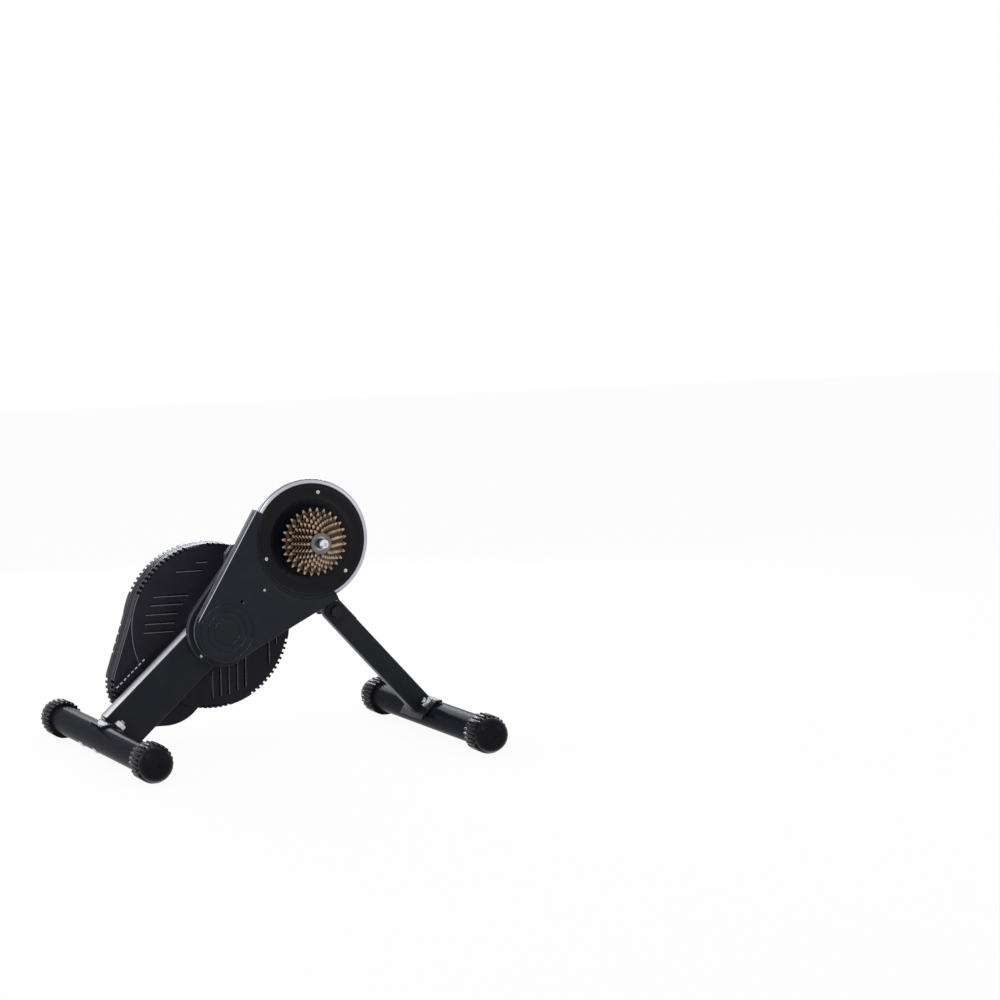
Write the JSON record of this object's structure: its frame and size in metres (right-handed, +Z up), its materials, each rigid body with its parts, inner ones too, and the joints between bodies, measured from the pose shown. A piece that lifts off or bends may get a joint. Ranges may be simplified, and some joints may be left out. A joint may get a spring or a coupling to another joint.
{
  "type": "bike trainer",
  "caption": "Folding direct-drive bicycle trainer: leaning box beam on two cross tubes, belt drive from the sprockets to a cased flywheel.",
  "frame": {"origin": "on the floor, in the middle of the four feet", "axes": "+X to the front of the bicycle, +Y away from the sprockets (the bicycle's left), +Z up"},
  "size_m": [0.6718, 0.632, 0.4652],
  "materials": {
    "satin_black_paint": "satin powder coat",
    "gloss_black_paint": "semi-gloss paint",
    "cover_plastic": "fine satin texture",
    "disc_plastic": "smooth satin",
    "case_plastic": "fine matte texture",
    "knob_plastic": "moulded grip",
    "inlet_plastic": "glossy moulded",
    "cap_rubber": "matte moulded rubber",
    "belt_rubber": "matte",
    "zinc": "bright zinc plate",
    "machined_steel": "machined",
    "sprocket_steel": "worn bronze tint",
    "machined_aluminium": "machined",
    "flywheel_iron": "turned and blackened",
    "board_green": "solder mask",
    "black_oxide": "black oxide on steel"
  },
  "bodies": {
    "stand": {"main_beam": "satin_black_paint", "leg_stub": "satin_black_paint", "pivot_bolt": "black_oxide", "clamp_washer": "zinc", "stop_pin": "black_oxide", "rear_tube": "gloss_black_paint", "rear_saddle": "satin_black_paint", "rear_bolt_near": "zinc", "rear_bolt_far": "zinc", "rear_nut_near": "zinc", "rear_nut_far": "zinc", "axle_tube": "machined_steel", "axle_end_cap": "machined_aluminium", "axle_boss": "machined_steel", "hub_bearing_near": "machined_steel", "hub_bearing_far": "machined_steel", "skewer_rod": "zinc", "belt_case_back": "cover_plastic", "pulley_cover": "disc_plastic", "belt_cover": "cover_plastic", "drive_belt": "belt_rubber", "shaft_housing": "machined_aluminium", "shaft_bearing_near": "machined_steel", "shaft_bearing_far": "machined_steel", "case_near": "case_plastic", "case_far": "case_plastic", "brake_motor": "flywheel_iron", "circuit_board": "board_green", "port_block": "case_plastic", "power_inlet": "inlet_plastic"},
    "front_leg": {"front_leg": "satin_black_paint", "pivot_spacer": "machined_steel", "front_tube": "gloss_black_paint", "front_saddle": "satin_black_paint", "front_bolt_near": "zinc", "front_bolt_far": "zinc", "front_nut_near": "zinc", "front_nut_far": "zinc"},
    "clamp_knob": {"clamp_knob": "knob_plastic"},
    "rear_cap_near": {"rear_cap_near": "cap_rubber"},
    "rear_cap_far": {"rear_cap_far": "cap_rubber"},
    "front_cap_near": {"front_cap_near": "cap_rubber"},
    "front_cap_far": {"front_cap_far": "cap_rubber"},
    "flywheel": {"flywheel": "flywheel_iron", "flywheel_shaft": "machined_steel", "small_pulley": "machined_steel"},
    "drive_hub": {"drive_hub": "machined_aluminium", "drive_pulley": "machined_aluminium"},
    "idler": {"idler_pulley": "machined_steel"},
    "cassette": {"freehub_body": "machined_steel", "cog_11": "sprocket_steel", "cog_13": "sprocket_steel", "cog_15": "sprocket_steel", "cog_17": "sprocket_steel", "cog_19": "sprocket_steel", "cogs_21_24_28": "sprocket_steel", "lockring": "machined_aluminium"},
    "brake_yoke": {"brake_yoke": "machined_steel"},
    "skewer_lever": {"skewer_lever": "zinc"},
    "skewer_nut": {"skewer_nut": "machined_aluminium"}
  },
  "joints": [
    {"name": "leg_fold", "type": "hinge", "parent": "stand", "child": "front_leg", "pos_m": [0.1205, 0, 0.2292], "axis": [0, 1, 0], "range_deg": [0, 80]},
    {"name": "clamp_knob_turn", "type": "hinge", "parent": "stand", "child": "clamp_knob", "pos_m": [0.1205, 0, 0.2292], "axis": [0, 1, 0], "continuous": true},
    {"name": "rear_cap_near_turn", "type": "hinge", "parent": "stand", "child": "rear_cap_near", "pos_m": [-0.3026, 0, 0.0332], "axis": [0, 1, 0], "range_deg": [-130, 130]},
    {"name": "rear_cap_far_turn", "type": "hinge", "parent": "stand", "child": "rear_cap_far", "pos_m": [-0.3026, 0, 0.0332], "axis": [0, 1, 0], "range_deg": [-130, 130]},
    {"name": "front_cap_near_turn", "type": "hinge", "parent": "front_leg", "child": "front_cap_near", "pos_m": [0.3026, 0, 0.0332], "axis": [0, 1, 0], "range_deg": [-130, 130]},
    {"name": "front_cap_far_turn", "type": "hinge", "parent": "front_leg", "child": "front_cap_far", "pos_m": [0.3026, 0, 0.0332], "axis": [0, 1, 0], "range_deg": [-130, 130]},
    {"name": "flywheel_spin", "type": "hinge", "parent": "stand", "child": "flywheel", "pos_m": [-0.08413, 0, 0.20791], "axis": [0, 1, 0], "continuous": true},
    {"name": "hub_spin", "type": "hinge", "parent": "stand", "child": "drive_hub", "pos_m": [0.0777, 0, 0.3562], "axis": [0, 1, 0], "continuous": true},
    {"name": "idler_spin", "type": "hinge", "parent": "stand", "child": "idler", "pos_m": [-0.05664, 0, 0.32815], "axis": [0, 1, 0], "continuous": true},
    {"name": "cassette_spin", "type": "hinge", "parent": "stand", "child": "cassette", "pos_m": [0.0777, 0, 0.3562], "axis": [0, 1, 0], "continuous": true},
    {"name": "brake_slide", "type": "slide", "parent": "stand", "child": "brake_yoke", "axis": [-0.7373, 0, -0.6756], "range_m": [0, 0.008]},
    {"name": "skewer_lever_swing", "type": "hinge", "parent": "stand", "child": "skewer_lever", "pos_m": [0.0777, 0.079, 0.3562], "axis": [-0.866, 0, 0.5], "range_deg": [0, 180]},
    {"name": "skewer_nut_turn", "type": "hinge", "parent": "stand", "child": "skewer_nut", "pos_m": [0.0777, 0, 0.3562], "axis": [0, 1, 0], "continuous": true}
  ],
  "couplings": [
    {"joint": "hub_spin", "follows": "flywheel_spin", "ratio": 0.19149},
    {"joint": "idler_spin", "follows": "flywheel_spin", "ratio": -2}
  ]
}
